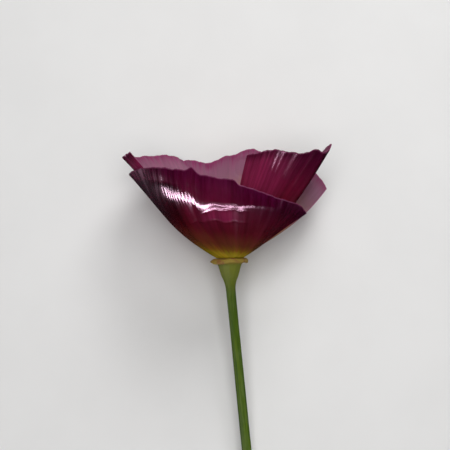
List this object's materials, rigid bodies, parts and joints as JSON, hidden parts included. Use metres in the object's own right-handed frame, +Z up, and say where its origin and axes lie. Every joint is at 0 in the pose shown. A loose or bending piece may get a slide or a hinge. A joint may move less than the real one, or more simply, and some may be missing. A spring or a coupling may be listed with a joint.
{
  "type": "california poppy flower",
  "caption": "Cut poppy lying on its side: a half-open cup of wide burgundy petals, lilac inside and yellow at the base, on a collared green stalk.",
  "frame": {"origin": "on the surface the flower lies on, under the middle of its bounding box", "axes": "+Z up, away from the surface; +Y along the lying flower from its cut stem end to its petals; +X to the right of someone who looks along +Y"},
  "size_m": [0.0584, 0.104, 0.0461],
  "materials": {
    "petal": "satin",
    "stem": "satin",
    "stamen": "matte",
    "pistil": "satin"
  },
  "bodies": {
    "root": {"stem": "stem", "pistil": "pistil", "stamens": "stamen", "petal_front": "petal", "petal_right": "petal", "petal_left": "petal", "petal_back": "petal"}
  },
  "joints": []
}
